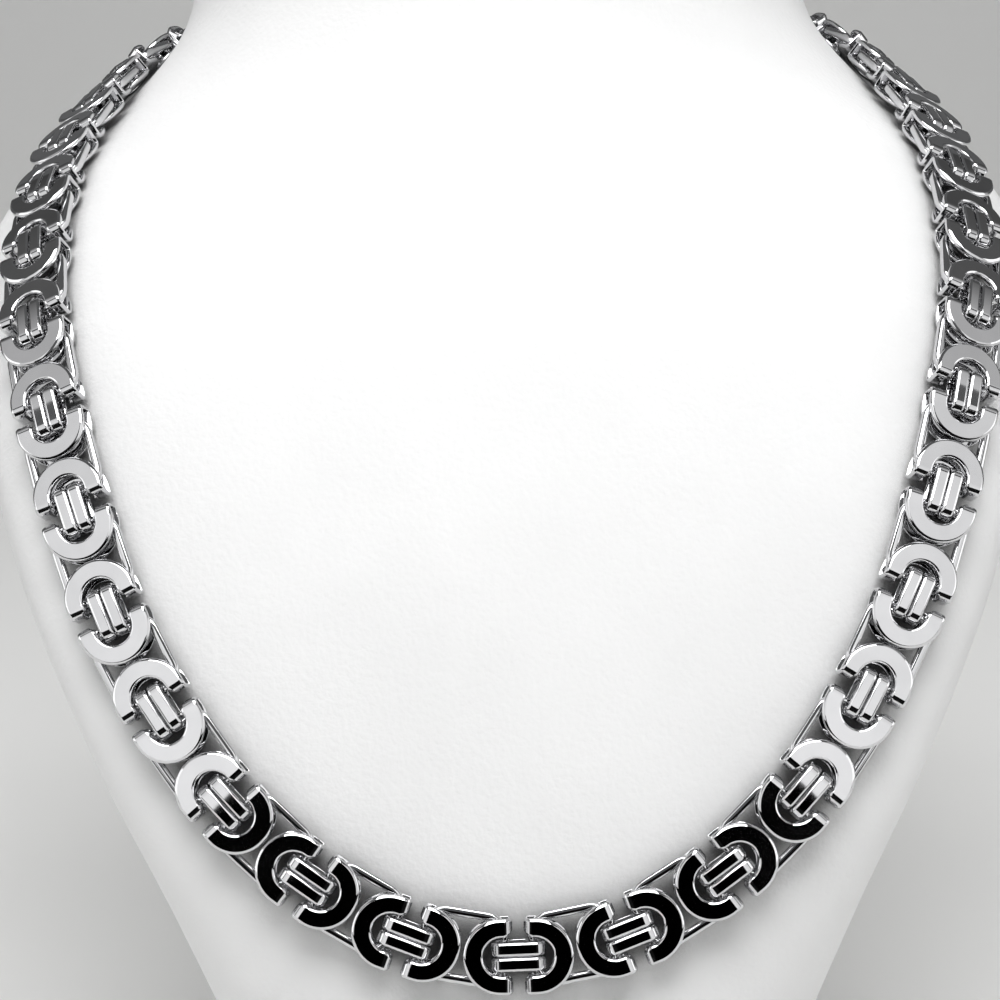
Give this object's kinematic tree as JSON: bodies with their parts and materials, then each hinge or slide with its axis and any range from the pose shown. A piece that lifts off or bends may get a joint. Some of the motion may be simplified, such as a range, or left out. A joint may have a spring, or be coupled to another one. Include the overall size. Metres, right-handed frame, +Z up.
{
  "type": "byzantine chain on a neck bust",
  "caption": "Wide steel byzantine chain of flat folded clips, rings and centre loops, closed round a plain white neck bust that stands on a flat base.",
  "frame": {"origin": "on the floor plane, below the middle of the bust's width and depth", "axes": "+X across the shoulders to the viewer's right, -Y out of the chest towards the viewer, +Z up from the flat base"},
  "size_m": [0.1732, 0.1729, 0.2],
  "materials": {
    "bust_cover": "matte white, smooth fine-grained leatherette",
    "steel": "mirror-polished stainless steel with bright bevelled edges"
  },
  "bodies": {
    "root": {"neck_bust": "bust_cover", "chain_left": "steel", "chain_right": "steel", "clasp": "steel"}
  },
  "joints": []
}
